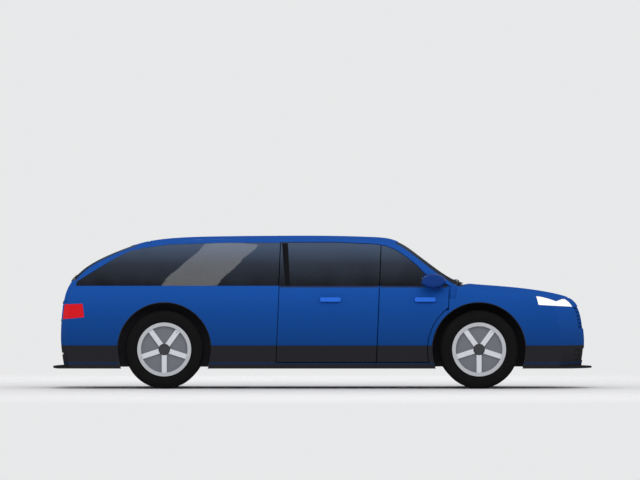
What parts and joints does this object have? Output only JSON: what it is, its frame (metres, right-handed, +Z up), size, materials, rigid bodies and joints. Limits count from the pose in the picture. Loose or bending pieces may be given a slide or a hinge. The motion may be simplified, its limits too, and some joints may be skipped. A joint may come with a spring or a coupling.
{
  "type": "crossover estate car",
  "caption": "Road car of the crossover estate kind with opening doors, bonnet and tailgate, steered front wheels and raised grey cladding.",
  "frame": {"origin": "on the ground, under the middle of the car's length and width", "axes": "+X forward, +Y to the car's left, +Z up"},
  "size_m": [5.1116, 2.144, 1.4427],
  "materials": {
    "paint": "gloss",
    "cladding": "textured",
    "glass": "gloss",
    "clear_lamp": "gloss",
    "red_lamp": "gloss",
    "handle": "gloss",
    "mirror_shell": "gloss",
    "black_plastic": "matte",
    "underbody": "matte",
    "seat_fabric": "matte",
    "cast_iron": "rough",
    "steel": "satin",
    "alloy": "satin",
    "tyre": "matte"
  },
  "bodies": {
    "body": {"body_side_left": "paint", "body_side_right": "paint", "roof_panel": "paint", "floor_pan": "underbody", "front_wings": "paint", "front_bumper": "paint", "rear_bumper": "paint", "grille": "black_plastic", "windscreen": "glass", "quarter_windows": "glass", "headlamps": "clear_lamp", "tail_lamps": "red_lamp", "dashboard": "black_plastic", "seats": "seat_fabric", "engine_block": "cast_iron", "front_suspension": "steel", "rear_suspension": "steel", "exhaust": "steel"},
    "bonnet": {"bonnet": "paint"},
    "tailgate": {"tailgate": "paint", "rear_window": "glass"},
    "steering_wheel": {"steering_wheel": "black_plastic"},
    "front_door_left": {"door_front_left": "paint", "door_glass_front_left": "glass", "handle_front_left": "handle", "mirror_left": "mirror_shell"},
    "rear_door_left": {"door_rear_left": "paint", "door_glass_rear_left": "glass", "handle_rear_left": "handle"},
    "steering_left": {"knuckle_left": "cast_iron"},
    "front_wheel_left": {"tyre_front_left": "tyre", "rim_front_left": "alloy"},
    "rear_wheel_left": {"tyre_rear_left": "tyre", "rim_rear_left": "alloy"},
    "front_door_right": {"door_front_right": "paint", "door_glass_front_right": "glass", "handle_front_right": "handle", "mirror_right": "mirror_shell"},
    "rear_door_right": {"door_rear_right": "paint", "door_glass_rear_right": "glass", "handle_rear_right": "handle"},
    "steering_right": {"knuckle_right": "cast_iron"},
    "front_wheel_right": {"tyre_front_right": "tyre", "rim_front_right": "alloy"},
    "rear_wheel_right": {"tyre_rear_right": "tyre", "rim_rear_right": "alloy"}
  },
  "joints": [
    {"name": "bonnet_hinge", "type": "hinge", "parent": "body", "child": "bonnet", "pos_m": [1.275, 0, 0.96], "axis": [0, -1, 0], "range_deg": [0, 55]},
    {"name": "tailgate_hinge", "type": "hinge", "parent": "body", "child": "tailgate", "pos_m": [-1.6, 0, 1.372], "axis": [0, 1, 0], "range_deg": [0, 78]},
    {"name": "front_door_left_hinge", "type": "hinge", "parent": "body", "child": "front_door_left", "pos_m": [1.155, 0.93, 0.97], "axis": [-0.0413, 0, -0.9991], "range_deg": [0, 65]},
    {"name": "rear_door_left_hinge", "type": "hinge", "parent": "body", "child": "rear_door_left", "pos_m": [0.4975, 0.93, 0.97], "axis": [-0.0413, 0, -0.9991], "range_deg": [0, 65]},
    {"name": "steer_left", "type": "hinge", "parent": "body", "child": "steering_left", "pos_m": [1.474, 0.745, 0.3705], "axis": [0, 0, 1], "range_deg": [-32, 32]},
    {"name": "front_wheel_left_spin", "type": "hinge", "parent": "steering_left", "child": "front_wheel_left", "pos_m": [1.474, 0.81, 0.3705], "axis": [0, 1, 0], "continuous": true},
    {"name": "rear_wheel_left_spin", "type": "hinge", "parent": "body", "child": "rear_wheel_left", "pos_m": [-1.49, 0.81, 0.3705], "axis": [0, 1, 0], "continuous": true},
    {"name": "front_door_right_hinge", "type": "hinge", "parent": "body", "child": "front_door_right", "pos_m": [1.155, -0.93, 0.97], "axis": [0.0413, 0, 0.9991], "range_deg": [0, 65]},
    {"name": "rear_door_right_hinge", "type": "hinge", "parent": "body", "child": "rear_door_right", "pos_m": [0.4975, -0.93, 0.97], "axis": [0.0413, 0, 0.9991], "range_deg": [0, 65]},
    {"name": "steer_right", "type": "hinge", "parent": "body", "child": "steering_right", "pos_m": [1.474, -0.745, 0.3705], "axis": [0, 0, 1], "range_deg": [-32, 32]},
    {"name": "front_wheel_right_spin", "type": "hinge", "parent": "steering_right", "child": "front_wheel_right", "pos_m": [1.474, -0.81, 0.3705], "axis": [0, 1, 0], "continuous": true},
    {"name": "rear_wheel_right_spin", "type": "hinge", "parent": "body", "child": "rear_wheel_right", "pos_m": [-1.49, -0.81, 0.3705], "axis": [0, 1, 0], "continuous": true},
    {"name": "steering_wheel_turn", "type": "hinge", "parent": "body", "child": "steering_wheel", "pos_m": [0.69, 0.37, 0.8], "axis": [-0.9135, 0, 0.4067], "range_deg": [-480, 480]}
  ],
  "couplings": [
    {"joint": "steer_right", "follows": "steer_left", "ratio": 1},
    {"joint": "steering_wheel_turn", "follows": "steer_left", "ratio": 15}
  ]
}
